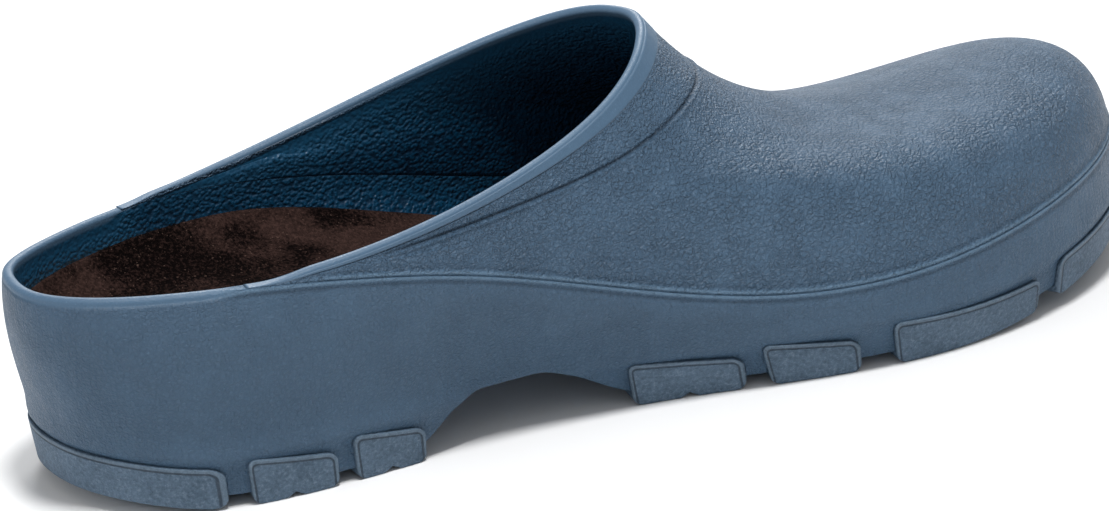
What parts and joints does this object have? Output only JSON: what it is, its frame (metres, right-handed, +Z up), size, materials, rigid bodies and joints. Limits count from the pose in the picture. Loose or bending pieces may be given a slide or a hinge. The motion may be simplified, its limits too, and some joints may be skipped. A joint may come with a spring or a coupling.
{
  "type": "garden clog",
  "caption": "Right-foot moulded garden clog with a closed toe, open heel collar, lugged sole and a loose layered cork footbed that lifts at the heel.",
  "frame": {"origin": "on the ground, under the middle of the whole clog's box", "axes": "+X to the toe, +Y to the inner (medial) side of the right foot, +Z up"},
  "size_m": [0.301, 0.1105, 0.0833],
  "materials": {
    "shell": "satin, fine leather grain",
    "upper": "satin, pebbled leather grain",
    "tread": "matt, sandy grain",
    "suede": "matt brushed suede",
    "jute": "coarse woven",
    "cork": "pressed cork granules"
  },
  "bodies": {
    "clog": {"sole_shell": "shell", "vamp": "upper", "lug_heel_back": "tread", "lug_heel_outer_rear": "tread", "lug_heel_outer_front": "tread", "lug_heel_inner_rear": "tread", "lug_heel_inner_front": "tread", "lug_ball_outer_rear": "tread", "lug_ball_outer_middle": "tread", "lug_ball_outer_front": "tread", "lug_ball_inner_rear": "tread", "lug_ball_inner_middle": "tread", "lug_ball_inner_front": "tread", "lug_toe_wrap": "tread", "tread_heel_block": "tread", "tread_ball_block_rear": "tread", "tread_ball_block_middle": "tread", "tread_ball_block_front": "tread"},
    "footbed": {"footbed_cover": "suede", "footbed_upper_jute": "jute", "footbed_cork": "cork", "footbed_lower_jute": "jute"}
  },
  "joints": [
    {"name": "footbed_lift", "type": "hinge", "parent": "clog", "child": "footbed", "pos_m": [0.1433, 0, 0.0189], "axis": [0, 1, 0], "range_deg": [0, 4.5]}
  ]
}
